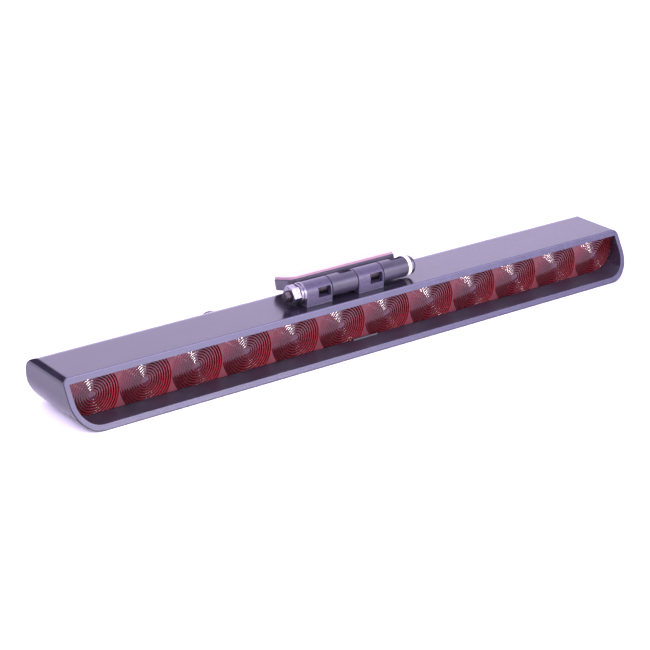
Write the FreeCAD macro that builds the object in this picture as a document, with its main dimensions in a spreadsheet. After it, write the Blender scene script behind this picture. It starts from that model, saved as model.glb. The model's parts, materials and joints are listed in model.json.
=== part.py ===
import FreeCAD, Part
import os
import Sketcher
from FreeCAD import Placement, Rotation, Vector

# Third brake light for a car's rear window: a long black hood with a red lens of ring-cut cells,
# and a friction hinge on top whose leaf carries an adhesive pad.
# +X runs along the lamp, the light shines towards -Y, +Z is up. Lengths are millimetres.
# Every piece is drawn in lamp coordinates, with y = 0 at the front edge of the hood's top and
# z = 0 under its flat bottom, or in a frame of its own, and is then moved to the part's frame.

DIMENSIONS = [
    # hood
    ("overall_length", 300),
    ("hood_height", 21.4),
    ("hood_depth", 30),
    ("lip_reach", 11.8),
    ("back_round_low", 14.4),
    ("back_round_high", 6.6),
    ("wall", 2.5),
    ("outer_corner", 12.5),
    ("top_corner", 3),
    ("inner_corner", 10),
    ("room_depth", 17),
    ("room_inset", 12),
    ("rim_round", 0.4),
    ("ledge_rise", 1.2),
    ("ledge_width", 1.2),
    ("catch_length", 13),
    ("catch_size", 0.6),
    # lens and seal
    ("lens_setback", 0.4),
    ("lens_thickness", 2.2),
    ("lens_clearance", 0.15),
    ("seal_thickness", 0.8),
    ("cell_pitch", 24.8),
    ("ring_pitch", 1.2),
    ("ring_depth", 0.35),
    # circuit board and its screws
    ("board_front", 12.2),
    ("board_thickness", 1.6),
    ("board_length", 290),
    ("board_height", 13.4),
    ("board_corner", 8.5),
    ("boss_spacing", 194.6),
    ("boss_width", 6),
    ("boss_depth", 5.8),
    ("boss_height", 14.6),
    ("pilot_radius", 1.25),
    ("screw_hole_radius", 1.6),
    ("screw_radius", 1.2),
    ("screw_length", 6.5),
    ("screw_head_radius", 2.7),
    ("screw_head_height", 1.9),
    # parts on the board
    ("led_radius", 2.5),
    ("led_flange_radius", 2.9),
    ("led_flange_height", 1),
    ("led_height", 8.6),
    ("led_lead_radius", 0.25),
    ("led_lead_spacing", 2.54),
    ("lead_hole_radius", 0.45),
    ("lead_tail", 1.2),
    ("row_height", 6.4),
    ("axial_pitch", 10.16),
    ("axial_lift", 1.6),
    ("axial_lead_radius", 0.3),
    ("resistor_radius", 1.15),
    ("resistor_length", 6.3),
    ("diode_radius", 1.35),
    ("diode_length", 5.2),
    ("diode_x", -56),
    ("terminal_x", -74.4),
    ("terminal_width", 8.4),
    ("terminal_height", 8),
    ("terminal_depth", 7.5),
    ("terminal_pitch", 3.81),
    ("terminal_bore_radius", 1.3),
    # cable grommet
    ("grommet_x", -61.5),
    ("grommet_height", 13.5),
    ("grommet_bore_radius", 2),
    ("grommet_neck_radius", 3.6),
    ("grommet_flange_radius", 4.9),
    ("grommet_flange", 1.4),
    ("grommet_nose", 5.5),
    ("seat_radius", 6.3),
    ("seat_depth", 3.9),
    # hinge knuckles
    ("foot_setback", 4.5),
    ("knuckle_radius", 4.7),
    ("axis_rise", 5.3),
    ("knuckle_pitch", 14),
    ("knuckle_gap", 0.3),
    ("foot_round", 0.5),
    ("knuckle_round", 0.3),
    ("bore_radius", 2.5),
    ("window_start", 6.3),
    ("window_length", 6.6),
    ("window_height", 4.4),
    # hinge leaf, tape and liner
    ("leaf_tilt", 16),
    ("pad_start", 6),
    ("pad_width", 16),
    ("pad_length", 57.6),
    ("pad_shift", 1.2),
    ("pad_top", 5.5),
    ("pad_thickness", 5),
    ("pad_skin", 2.2),
    ("pad_skirt", 1.8),
    ("pad_corner", 3.5),
    ("pad_round", 0.6),
    ("arm_top", 3.4),
    ("foam_thickness", 1),
    ("foam_inset", 0.4),
    ("liner_thickness", 0.3),
    # hinge bolt, nut and washers
    ("bolt_radius", 2.45),
    ("bolt_length", 66),
    ("bolt_chamfer", 0.6),
    ("head_radius", 4.4),
    ("head_height", 3),
    ("recess_width", 1.1),
    ("recess_length", 4.6),
    ("recess_depth", 1.8),
    ("nut_flats", 8),
    ("nut_height", 4),
    ("nut_bore_radius", 2.47),
    ("nylon_radius", 4.5),
    ("nylon_thickness", 1.6),
    ("nylon_gap", 0.2),
    ("flat_washer_radius", 4.9),
    ("flat_washer_thickness", 1),
    ("spring_washer_radius", 4.5),
    ("spring_washer_thickness", 1.3),
    ("spring_washer_slit", 0.9),
    ("washer_bore_radius", 2.65),
]

CELLS = 12
RINGS = 9
KNUCKLES = 4
STRINGS = 4

# Places that several pieces share, as expressions on the sheet.
MID_HEIGHT = "dims.hood_height / 2"
INNER_LEFT = "-dims.overall_length / 2 + dims.wall"
INNER_RIGHT = "dims.overall_length / 2 - dims.wall"
INNER_TOP = "dims.hood_height - dims.wall"
LENS_BACK = "dims.lens_setback + dims.lens_thickness"
LEDGE_FRONT = LENS_BACK + " + dims.seal_thickness"
LEDGE_BACK = LEDGE_FRONT + " + dims.ledge_width"
BOARD_BACK = "dims.board_front + dims.board_thickness"
AXIS_Y = "dims.foot_setback + dims.knuckle_radius"
AXIS_Z = "dims.hood_height + dims.axis_rise"
ROW_START = "-%d * dims.knuckle_pitch" % (KNUCKLES // 2)
KNUCKLE_LENGTH = "dims.knuckle_pitch - dims.knuckle_gap"
PAD_END = "(dims.pad_start + dims.pad_width)"
FRAME_Y = "(dims.lip_reach - dims.hood_depth - dims.grommet_nose) / 2"

doc = FreeCAD.newDocument("third_brake_light")
sheet = doc.addObject("Spreadsheet::Sheet", "dims")
for row, (alias, number) in enumerate(DIMENSIONS, start=1):
    cell = "A%d" % row
    sheet.set(cell, str(number))
    sheet.setAlias(cell, alias)
doc.recompute()

nodes = []


def value(expression):
    """The number that an expression on the sheet gives now."""
    result = sheet.evalExpression(str(expression))
    return float(getattr(result, "Value", result))


def finish(piece, x="0", y="0", z="0", rotation=Rotation(), moved=True):
    """Puts a piece at lamp coordinates (x, y, z), turned by rotation, and lists it as a node."""
    piece.Placement = Placement(Vector(0, 0, 0), rotation)
    piece.setExpression("Placement.Base.x", x)
    piece.setExpression("Placement.Base.y", "%s + %s" % (FRAME_Y, y) if moved else y)
    piece.setExpression("Placement.Base.z", z)
    nodes.append(piece)
    return piece


# ---- sketches -------------------------------------------------------------------------------

def new_body(label):
    body = doc.addObject("PartDesign::Body", label)
    body.Label = label
    return body


def new_sketch(body, name, role, offset="0"):
    """A sketch on one of the body's origin planes, moved along the plane's normal by offset.

    XZ_Plane has local axes X and Z and its normal towards -Y; YZ_Plane has local axes Y and Z
    and its normal towards +X; XY_Plane has its normal towards +Z.
    """
    sketch = body.newObject("Sketcher::SketchObject", body.Label + "_" + name)
    plane = [feature for feature in body.Origin.OriginFeatures if feature.Role == role][0]
    sketch.AttachmentSupport = [(plane, "")]
    sketch.MapMode = "FlatFace"
    sketch.setExpression("AttachmentOffset.Base.z", offset)
    return sketch


def bind(sketch, kind, references, expression):
    """Adds a dimension to a sketch and ties it to the sheet."""
    index = sketch.addConstraint(Sketcher.Constraint(kind, *references, value(expression)))
    sketch.setExpression("Constraints[%d]" % index, expression)


def polygon(sketch, corners):
    """A closed outline of straight lines through corners given as pairs of expressions."""
    first = sketch.GeometryCount
    points = [Vector(value(x), value(y), 0) for x, y in corners]
    count = len(points)
    for i in range(count):
        sketch.addGeometry(Part.LineSegment(points[i], points[(i + 1) % count]))
    for i in range(count):
        following = first + (i + 1) % count
        sketch.addConstraint(Sketcher.Constraint("Coincident", first + i, 2, following, 1))
    for i, (x, y) in enumerate(corners):
        bind(sketch, "DistanceX", (-1, 1, first + i, 1), x)
        bind(sketch, "DistanceY", (-1, 1, first + i, 1), y)


def circle(sketch, x, y, radius):
    centre = Vector(value(x), value(y), 0)
    index = sketch.addGeometry(Part.Circle(centre, Vector(0, 0, 1), value(radius)))
    bind(sketch, "DistanceX", (-1, 1, index, 3), x)
    bind(sketch, "DistanceY", (-1, 1, index, 3), y)
    bind(sketch, "Radius", (index,), radius)


def rounded_box(sketch, left, right, bottom, top, low_corner, high_corner=None):
    """A rectangle whose two lower corners, and with high_corner its upper ones too, are arcs."""
    first = sketch.GeometryCount
    x0, x1, y0, y1 = (value(edge) for edge in (left, right, bottom, top))
    low = value(low_corner)
    high = value(high_corner) if high_corner else 0
    ends = [
        (Vector(x0 + low, y0, 0), Vector(x1 - low, y0, 0)),
        (Vector(x1, y0 + low, 0), Vector(x1, y1 - high, 0)),
        (Vector(x1 - high, y1, 0), Vector(x0 + high, y1, 0)),
        (Vector(x0, y1 - high, 0), Vector(x0, y0 + low, 0)),
    ]
    for start, end in ends:
        sketch.addGeometry(Part.LineSegment(start, end))
    for i, (direction, kind, place) in enumerate([
            ("Horizontal", "DistanceY", bottom), ("Vertical", "DistanceX", right),
            ("Horizontal", "DistanceY", top), ("Vertical", "DistanceX", left)]):
        sketch.addConstraint(Sketcher.Constraint(direction, first + i))
        bind(sketch, kind, (-1, 1, first + i, 1), place)
    half_pi = 1.5707963267948966
    centres = [
        (Vector(x1 - low, y0 + low, 0), low, low_corner, -half_pi),
        (Vector(x1 - high, y1 - high, 0), high, high_corner, 0),
        (Vector(x0 + high, y1 - high, 0), high, high_corner, half_pi),
        (Vector(x0 + low, y0 + low, 0), low, low_corner, 2 * half_pi),
    ]
    for i, (centre, radius, expression, angle) in enumerate(centres):
        line, following = first + i, first + (i + 1) % 4
        if not expression:
            sketch.addConstraint(Sketcher.Constraint("Coincident", line, 2, following, 1))
            continue
        whole = Part.Circle(centre, Vector(0, 0, 1), radius)
        arc = sketch.addGeometry(Part.ArcOfCircle(whole, angle, angle + half_pi))
        sketch.addConstraint(Sketcher.Constraint("Tangent", line, 2, arc, 1))
        sketch.addConstraint(Sketcher.Constraint("Tangent", arc, 2, following, 1))
        bind(sketch, "Radius", (arc,), expression)


def round_ended(sketch, left, right, base, centre):
    """A strip that runs along local y from base to a half circle about the height centre."""
    first = sketch.GeometryCount
    x0, x1, foot, middle = (value(number) for number in (left, right, base, centre))
    half_pi = 1.5707963267948966
    sketch.addGeometry(Part.LineSegment(Vector(x0, middle, 0), Vector(x0, foot, 0)))
    sketch.addGeometry(Part.LineSegment(Vector(x0, foot, 0), Vector(x1, foot, 0)))
    sketch.addGeometry(Part.LineSegment(Vector(x1, foot, 0), Vector(x1, middle, 0)))
    whole = Part.Circle(Vector((x0 + x1) / 2, middle, 0), Vector(0, 0, 1), (x1 - x0) / 2)
    upwards = middle > foot
    start = 0 if upwards else 2 * half_pi
    arc = sketch.addGeometry(Part.ArcOfCircle(whole, start, start + 2 * half_pi))
    # the arc runs counterclockwise, so which of its ends meets the left side depends on the way
    left_end = 2 if upwards else 1
    sketch.addConstraint(Sketcher.Constraint("Coincident", first, 2, first + 1, 1))
    sketch.addConstraint(Sketcher.Constraint("Coincident", first + 1, 2, first + 2, 1))
    sketch.addConstraint(Sketcher.Constraint("Tangent", first, 1, arc, left_end))
    sketch.addConstraint(Sketcher.Constraint("Tangent", first + 2, 2, arc, 3 - left_end))
    sketch.addConstraint(Sketcher.Constraint("Vertical", first))
    sketch.addConstraint(Sketcher.Constraint("Vertical", first + 2))
    sketch.addConstraint(Sketcher.Constraint("Horizontal", first + 1))
    bind(sketch, "DistanceX", (-1, 1, first, 2), left)
    bind(sketch, "DistanceX", (-1, 1, first + 2, 1), right)
    bind(sketch, "DistanceY", (-1, 1, first + 1, 1), base)
    bind(sketch, "DistanceY", (-1, 1, arc, 3), centre)


# ---- features -------------------------------------------------------------------------------

def pad(body, sketch, length, symmetric=False, backwards=False):
    feature = body.newObject("PartDesign::Pad", sketch.Name + "_pad")
    feature.Profile = sketch
    feature.setExpression("Length", length)
    feature.SideType = "Symmetric" if symmetric else "One side"
    feature.Reversed = backwards
    doc.recompute()
    return feature


def pocket(body, sketch, length, symmetric=False, backwards=False):
    """Cuts a sketch into the body, against the sketch's normal unless backwards."""
    before = body.Shape.Volume
    feature = body.newObject("PartDesign::Pocket", sketch.Name + "_pocket")
    feature.Profile = sketch
    feature.setExpression("Length", length)
    feature.SideType = "Symmetric" if symmetric else "One side"
    feature.Reversed = backwards
    doc.recompute()
    if body.Shape.Volume >= before - 1e-6:
        raise RuntimeError(feature.Name + " cuts nothing")
    return feature


def revolve(body, sketch):
    """Turns a sketch on XZ_Plane fully about the body's Z axis."""
    feature = body.newObject("PartDesign::Revolution", sketch.Name + "_revolution")
    feature.Profile = sketch
    feature.ReferenceAxis = (sketch, ["V_Axis"])
    feature.Angle = 360
    doc.recompute()
    return feature


def fillet(body, name, radius, wanted):
    """Rounds every edge of the body's tip for which wanted(edge) is true."""
    tip = body.Tip
    edges = ["Edge%d" % i for i, edge in enumerate(tip.Shape.Edges, start=1) if wanted(edge)]
    if not edges:
        raise RuntimeError(name + " finds no edges")
    feature = body.newObject("PartDesign::Fillet", body.Label + "_" + name)
    feature.Base = (tip, edges)
    feature.setExpression("Radius", radius)
    doc.recompute()
    return feature


def turned(label, profile):
    """A body turned about its own Z axis from a profile of (radius, height) expressions."""
    body = new_body(label)
    sketch = new_sketch(body, "profile", "XZ_Plane")
    polygon(sketch, profile)
    revolve(body, sketch)
    return body


def cylinder(name, radius, height, x="0", y="0", z="0", rotation=Rotation()):
    """A Part cylinder on the sheet's sizes, for use inside a fused piece."""
    part = doc.addObject("Part::Cylinder", name)
    part.setExpression("Radius", radius)
    part.setExpression("Height", height)
    part.Placement = Placement(Vector(0, 0, 0), rotation)
    part.setExpression("Placement.Base.x", x)
    part.setExpression("Placement.Base.y", y)
    part.setExpression("Placement.Base.z", z)
    return part


def sphere(name, radius, x="0", y="0", z="0"):
    part = doc.addObject("Part::Sphere", name)
    part.setExpression("Radius", radius)
    part.setExpression("Placement.Base.x", x)
    part.setExpression("Placement.Base.y", y)
    part.setExpression("Placement.Base.z", z)
    return part


def fused(label, shapes):
    piece = doc.addObject("Part::MultiFuse", label)
    piece.Label = label
    piece.Shapes = shapes
    piece.Refine = True
    return piece


# ---- housing --------------------------------------------------------------------------------

def cell_x(index):
    """Where along the lamp a cell's centre lies."""
    return "%g * dims.cell_pitch" % (index - (CELLS - 1) / 2)


def string_x(index):
    """The middle of a string of three cells."""
    return "%g * dims.cell_pitch" % ((index - (STRINGS - 1) / 2) * CELLS / STRINGS)


def knuckle_start(index):
    return "%s + %d * dims.knuckle_pitch" % (ROW_START, index)


def side_outline(sketch, front_low, front_high, inset):
    """The hood's outline from the side, drawn smaller by inset, with its two back corners round.

    front_low and front_high are where its bottom and its top begin.
    """
    low_round = "dims.back_round_low - " + inset
    high_round = "dims.back_round_high - " + inset
    foot, head = value(inset), value("dims.hood_height - " + inset)
    back, low, high = value("dims.hood_depth - " + inset), value(low_round), value(high_round)
    half_pi = 1.5707963267948966
    low_circle = Part.Circle(Vector(back - low, foot + low, 0), Vector(0, 0, 1), low)
    high_circle = Part.Circle(Vector(back - high, head - high, 0), Vector(0, 0, 1), high)
    lip, front_top = Vector(value(front_low), foot, 0), Vector(value(front_high), head, 0)
    for shape in (
            Part.LineSegment(lip, Vector(back - low, foot, 0)),
            Part.ArcOfCircle(low_circle, -half_pi, 0),
            Part.LineSegment(Vector(back, foot + low, 0), Vector(back, head - high, 0)),
            Part.ArcOfCircle(high_circle, 0, half_pi),
            Part.LineSegment(Vector(back - high, head, 0), front_top),
            Part.LineSegment(front_top, lip)):
        sketch.addGeometry(shape)
    for i in range(4):
        sketch.addConstraint(Sketcher.Constraint("Tangent", i, 2, i + 1, 1))
    sketch.addConstraint(Sketcher.Constraint("Coincident", 4, 2, 5, 1))
    sketch.addConstraint(Sketcher.Constraint("Coincident", 5, 2, 0, 1))
    sketch.addConstraint(Sketcher.Constraint("Horizontal", 0))
    sketch.addConstraint(Sketcher.Constraint("Vertical", 2))
    sketch.addConstraint(Sketcher.Constraint("Horizontal", 4))
    bind(sketch, "DistanceX", (-1, 1, 0, 1), front_low)
    bind(sketch, "DistanceY", (-1, 1, 0, 1), inset)
    bind(sketch, "DistanceX", (-1, 1, 2, 1), "dims.hood_depth - " + inset)
    bind(sketch, "DistanceX", (-1, 1, 4, 2), front_high)
    bind(sketch, "DistanceY", (-1, 1, 4, 2), "dims.hood_height - " + inset)
    bind(sketch, "Radius", (1,), low_round)
    bind(sketch, "Radius", (3,), high_round)


def hood_block(body):
    """The solid hood: a side outline with a leaning front and a round back, corners trimmed."""
    outline = new_sketch(body, "outline", "YZ_Plane")
    side_outline(outline, "-dims.lip_reach", "0", "0")
    pad(body, outline, "dims.overall_length + 2", symmetric=True)

    trim = new_sketch(body, "corner_trim", "XZ_Plane")
    polygon(trim, [("-dims.overall_length", "-dims.hood_height"),
                   ("dims.overall_length", "-dims.hood_height"),
                   ("dims.overall_length", "2 * dims.hood_height"),
                   ("-dims.overall_length", "2 * dims.hood_height")])
    rounded_box(trim, "-dims.overall_length / 2", "dims.overall_length / 2", "0",
                "dims.hood_height", "dims.outer_corner", "dims.top_corner")
    pocket(body, trim, "6 * dims.hood_height", symmetric=True)


def hood_cavity(body):
    """The space inside: the mouth, the ledge that the lens seats on, and the room behind it."""
    mouth = new_sketch(body, "mouth", "XZ_Plane", "dims.lip_reach + dims.wall")
    rounded_box(mouth, INNER_LEFT, INNER_RIGHT, "dims.wall", INNER_TOP, "dims.inner_corner")
    pocket(body, mouth, "dims.lip_reach + dims.wall + " + LEDGE_FRONT)

    ledge = new_sketch(body, "ledge", "XZ_Plane")
    rounded_box(ledge, INNER_LEFT + " + dims.ledge_rise", INNER_RIGHT + " - dims.ledge_rise",
                "dims.wall + dims.ledge_rise", INNER_TOP + " - dims.ledge_rise",
                "dims.inner_corner - dims.ledge_rise")
    pocket(body, ledge, "dims.room_depth")

    room = new_sketch(body, "room", "XZ_Plane", "-(%s)" % LEDGE_BACK)
    rounded_box(room, INNER_LEFT, INNER_RIGHT, "dims.wall", INNER_TOP, "dims.inner_corner")
    pocket(body, room, "dims.room_depth - (%s)" % LEDGE_BACK)

    back_room = new_sketch(body, "back_room", "YZ_Plane")
    side_outline(back_room, "dims.room_depth - dims.wall", "dims.room_depth - dims.wall",
                 "dims.wall")
    pocket(body, back_room, "dims.overall_length - 2 * dims.room_inset", symmetric=True)


def hood_bosses(body):
    """Two bosses under the top wall that take the circuit board's screws, and the lens catch."""
    bosses = new_sketch(body, "bosses", "XZ_Plane", "-(%s)" % BOARD_BACK)
    for side in (-1, 1):
        centre = "%d * dims.boss_spacing / 2" % side
        round_ended(bosses, centre + " - dims.boss_width / 2", centre + " + dims.boss_width / 2",
                    INNER_TOP + " + dims.wall / 2", "dims.boss_height")
    pad(body, bosses, "dims.boss_depth", backwards=True)

    pilots = new_sketch(body, "pilot_holes", "XZ_Plane", "-(%s)" % BOARD_BACK)
    for side in (-1, 1):
        circle(pilots, "%d * dims.boss_spacing / 2" % side, "dims.boss_height",
               "dims.pilot_radius")
    pocket(body, pilots, "dims.boss_depth - 0.4")

    catch = new_sketch(body, "lens_catch", "YZ_Plane")
    polygon(catch, [("-dims.catch_size", "dims.wall - 0.5"),
                    ("dims.lens_setback - 0.1", "dims.wall - 0.5"),
                    ("dims.lens_setback - 0.1", "dims.wall + dims.catch_size"),
                    ("-dims.catch_size / 2", "dims.wall + dims.catch_size")])
    pad(body, catch, "dims.catch_length", symmetric=True)


def hood_knuckles(body):
    """The hood's two hinge knuckles, the first and third of the row, each with a front window."""
    for index in range(0, KNUCKLES, 2):
        foot = new_sketch(body, "foot_%d" % index, "YZ_Plane", knuckle_start(index))
        round_ended(foot, "dims.foot_setback", "dims.foot_setback + 2 * dims.knuckle_radius",
                    "dims.hood_height - dims.wall / 2", AXIS_Z)
        pad(body, foot, KNUCKLE_LENGTH)

    top, row_end = value("dims.hood_height"), -value(ROW_START)

    def at_a_foot(edge):
        """True for an edge where a foot meets the hood's top."""
        box = edge.BoundBox
        level = abs(box.ZMin - top) < 0.01 and abs(box.ZMax - top) < 0.01
        return level and box.YMin > 1 and box.XMin > -row_end - 1 and box.XMax < row_end + 1

    def at_a_knuckle_end(edge):
        """True for an edge round the side of a knuckle."""
        box = edge.BoundBox
        return box.XLength < 0.01 and box.ZMin > top - 0.01 and box.ZMax > top + 1

    fillet(body, "knuckle_round", "dims.knuckle_round", at_a_knuckle_end)
    fillet(body, "foot_round", "dims.foot_round", at_a_foot)

    bore = new_sketch(body, "bore", "YZ_Plane")
    circle(bore, AXIS_Y, AXIS_Z, "dims.bore_radius")
    pocket(body, bore, "%d * dims.knuckle_pitch + 2" % KNUCKLES, symmetric=True)

    windows = new_sketch(body, "windows", "XZ_Plane")
    for index in range(0, KNUCKLES, 2):
        start = "%s + dims.window_start" % knuckle_start(index)
        end = start + " + dims.window_length"
        low = AXIS_Z + " - dims.window_height / 2"
        high = AXIS_Z + " + dims.window_height / 2"
        polygon(windows, [(start, low), (end, low), (end, high), (start, high)])
    pocket(body, windows, AXIS_Y)


def hood_outlet(body):
    """The flat seat on the back that takes the cable grommet, and its hole."""
    seat = new_sketch(body, "grommet_seat", "XZ_Plane", "-dims.hood_depth")
    circle(seat, "dims.grommet_x", "dims.grommet_height", "dims.seat_radius")
    pad(body, seat, "dims.seat_depth")
    for name, radius, length in (
            ("flange_room", "dims.grommet_flange_radius + 0.2", "8 - dims.wall"),
            ("cable_outlet", "dims.grommet_neck_radius", "dims.hood_height")):
        hole = new_sketch(body, name, "XZ_Plane", "8 - dims.hood_depth")
        circle(hole, "dims.grommet_x", "dims.grommet_height", radius)
        pocket(body, hole, length)


def make_housing():
    body = new_body("housing")
    hood_block(body)
    hood_cavity(body)

    reach, tall = value("dims.lip_reach"), value("dims.hood_height")
    margin = value("dims.wall") / 2
    ceiling, side = value(INNER_TOP), value(INNER_RIGHT)

    def on_outer_rim(edge):
        """True for an edge of the leaning front that lies outside the mouth."""
        points = edge.discretize(5)
        flush = all(abs(p.y + reach * (1 - p.z / tall)) < 0.02 for p in points)
        return flush and any(p.z < margin or p.z > ceiling + margin
                             or abs(p.x) > side + margin for p in points)

    fillet(body, "rim_round", "dims.rim_round", on_outer_rim)
    hood_bosses(body)
    hood_knuckles(body)

    hood_outlet(body)
    finish(body)


# ---- lens and seal --------------------------------------------------------------------------

def cut_cell_rings(body):
    """Saw-toothed rings on the lens's front face, one set for each LED."""
    rings = new_sketch(body, "rings", "YZ_Plane", cell_x(0))
    rings.setExpression("AttachmentOffset.Base.y", MID_HEIGHT)
    for index in range(1, RINGS + 1):
        radius = "%d * dims.ring_pitch" % index
        outside = radius + " + 0.9 * dims.ring_pitch"
        polygon(rings, [("dims.lens_setback", radius),
                        ("dims.lens_setback + dims.ring_depth", outside),
                        ("dims.lens_setback", outside)])
    groove = body.newObject("PartDesign::Groove", "lens_ring_groove")
    groove.Profile = rings
    groove.ReferenceAxis = (rings, ["H_Axis"])
    groove.Angle = 360
    doc.recompute()
    row = body.newObject("PartDesign::LinearPattern", "lens_ring_row")
    row.Originals = [groove]
    row.Direction = (rings, ["N_Axis"])
    row.setExpression("Length", "%d * dims.cell_pitch" % (CELLS - 1))
    row.Occurrences = CELLS
    body.Tip = row
    doc.recompute()


def make_lens():
    """The red lens: a plate that fills the mouth, seated on the seal, with ring-cut cells."""
    body = new_body("lens")
    outline = new_sketch(body, "outline", "XZ_Plane", "-dims.lens_setback")
    rounded_box(outline, INNER_LEFT + " + dims.lens_clearance",
                INNER_RIGHT + " - dims.lens_clearance", "dims.wall + dims.lens_clearance",
                INNER_TOP + " - dims.lens_clearance", "dims.inner_corner")
    pad(body, outline, "dims.lens_thickness", backwards=True)
    cut_cell_rings(body)
    finish(body)


def make_lens_seal():
    """A flat rubber frame between the lens and the ledge."""
    body = new_body("lens_seal")
    frame = new_sketch(body, "frame", "XZ_Plane", "-(%s)" % LENS_BACK)
    for inset in ("dims.lens_clearance", "dims.ledge_rise"):
        rounded_box(frame, "%s + %s" % (INNER_LEFT, inset), "%s - %s" % (INNER_RIGHT, inset),
                    "dims.wall + " + inset, "%s - %s" % (INNER_TOP, inset),
                    "dims.inner_corner - " + inset)
    pad(body, frame, "dims.seal_thickness", backwards=True)
    finish(body)


# ---- circuit board and its parts ------------------------------------------------------------

def lead_pairs():
    """Every pair of lead holes in the board, as (centre x, height, spacing) expressions."""
    pairs = [(cell_x(i), MID_HEIGHT, "dims.led_lead_spacing") for i in range(CELLS)]
    pairs += [(string_x(i), "dims.row_height", "dims.axial_pitch") for i in range(STRINGS)]
    pairs.append(("dims.diode_x", "dims.row_height", "dims.axial_pitch"))
    pairs.append(("dims.terminal_x", MID_HEIGHT, "dims.terminal_pitch"))
    return pairs


def make_circuit_board():
    body = new_body("circuit_board")
    outline = new_sketch(body, "outline", "XZ_Plane", "-dims.board_front")
    low = MID_HEIGHT + " - dims.board_height / 2"
    high = MID_HEIGHT + " + dims.board_height / 2"
    rounded_box(outline, "-dims.board_length / 2", "dims.board_length / 2", low, high,
                "dims.board_corner")
    for side in (-1, 1):
        circle(outline, "%d * dims.boss_spacing / 2" % side, "dims.boss_height",
               "dims.screw_hole_radius")
    for x, height, spacing in lead_pairs():
        for side in (-1, 1):
            circle(outline, "%s + %d * %s / 2" % (x, side, spacing), height,
                   "dims.lead_hole_radius")
    pad(body, outline, "dims.board_thickness", backwards=True)
    finish(body)


FORWARD = Rotation(Vector(1, 0, 0), 90)     # turns a piece's own +Z to -Y
BACKWARD = Rotation(Vector(1, 0, 0), -90)   # turns a piece's own +Z to +Y
LENGTHWISE = Rotation(Vector(0, 1, 0), 90)  # turns a piece's own +Z to +X


def make_leds():
    """Round 5 mm LEDs, each drawn upright from the board's face with its two leads below."""
    lead_length = "dims.board_thickness + dims.lead_tail + dims.led_flange_height / 2"
    for index in range(CELLS):
        label = "led_%02d" % (index + 1)
        barrel = "dims.led_height - dims.led_radius"
        shapes = [
            cylinder(label + "_flange", "dims.led_flange_radius", "dims.led_flange_height"),
            cylinder(label + "_barrel", "dims.led_radius", barrel),
            sphere(label + "_dome", "dims.led_radius", z=barrel),
        ]
        for side in (-1, 1):
            shapes.append(cylinder("%s_lead_%d" % (label, side + 2), "dims.led_lead_radius",
                                   lead_length, x="%d * dims.led_lead_spacing / 2" % side,
                                   z="-dims.board_thickness - dims.lead_tail"))
        finish(fused(label, shapes), cell_x(index), "dims.board_front", MID_HEIGHT, FORWARD)


def axial_part(label, x, radius, length):
    """A wire-ended part behind the board, its body along X and its two leads through the board.

    It is drawn with z = 0 on the board's back face and its own +Z pointing backwards.
    """
    half_pitch = "dims.axial_pitch / 2"
    shapes = [
        cylinder(label + "_body", radius, length, x="-%s / 2" % length,
                 z="dims.axial_lift", rotation=LENGTHWISE),
        cylinder(label + "_wire", "dims.axial_lead_radius", "dims.axial_pitch",
                 x="-" + half_pitch, z="dims.axial_lift", rotation=LENGTHWISE),
    ]
    for side in (-1, 1):
        place = "%d * %s" % (side, half_pitch)
        name = "%s_%d" % (label, side + 2)
        shapes.append(cylinder(name + "_lead", "dims.axial_lead_radius",
                               "dims.board_thickness + dims.axial_lift + 0.6", x=place,
                               z="-dims.board_thickness - 0.6"))
        shapes.append(sphere(name + "_bend", "dims.axial_lead_radius", x=place,
                             z="dims.axial_lift"))
    finish(fused(label, shapes), x, BOARD_BACK, "dims.row_height", BACKWARD)


def make_wire_terminal():
    """A two-way terminal block behind the board, its wire bores facing backwards."""
    body = new_body("wire_terminal")
    block = new_sketch(body, "block", "XY_Plane")
    half_x = "dims.terminal_width / 2"
    half_y = "dims.terminal_height / 2"
    rounded_box(block, "-" + half_x, half_x, "-" + half_y, half_y, "0.8", "0.8")
    pad(body, block, "dims.terminal_depth")
    bores = new_sketch(body, "bores", "XY_Plane", "dims.terminal_depth")
    pins = new_sketch(body, "pins", "XY_Plane")
    for side in (-1, 1):
        place = "%d * dims.terminal_pitch / 2" % side
        circle(bores, place, "0", "dims.terminal_bore_radius")
        circle(pins, place, "0", "dims.axial_lead_radius")
    pocket(body, bores, "dims.terminal_depth - 1.5")
    pad(body, pins, "dims.board_thickness + 0.6", backwards=True)
    finish(body, "dims.terminal_x", BOARD_BACK, MID_HEIGHT, BACKWARD)


def make_board_screws():
    """Two self-tapping screws that hold the board to the housing's bosses."""
    head, neck = "dims.screw_head_radius", "dims.screw_radius"
    screws = []
    for side in (-1, 1):
        body = turned("board_screw_%d" % (side + 2), [
            ("0", "-dims.screw_length"), (neck + " / 2", "-dims.screw_length"),
            (neck, "-dims.screw_length + 1.5"), (neck, "0"), (head, "0"),
            (head, "dims.screw_head_height / 2"), (head + " * 0.6", "dims.screw_head_height"),
            ("0", "dims.screw_head_height")])
        body.Placement = Placement(Vector(0, 0, 0), FORWARD)
        body.setExpression("Placement.Base.x", "%d * dims.boss_spacing / 2" % side)
        body.setExpression("Placement.Base.z", "dims.boss_height")
        screws.append(body)
    group = doc.addObject("Part::Compound", "board_screws")
    group.Label = "board_screws"
    group.Links = screws
    finish(group, y="dims.board_front")


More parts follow.
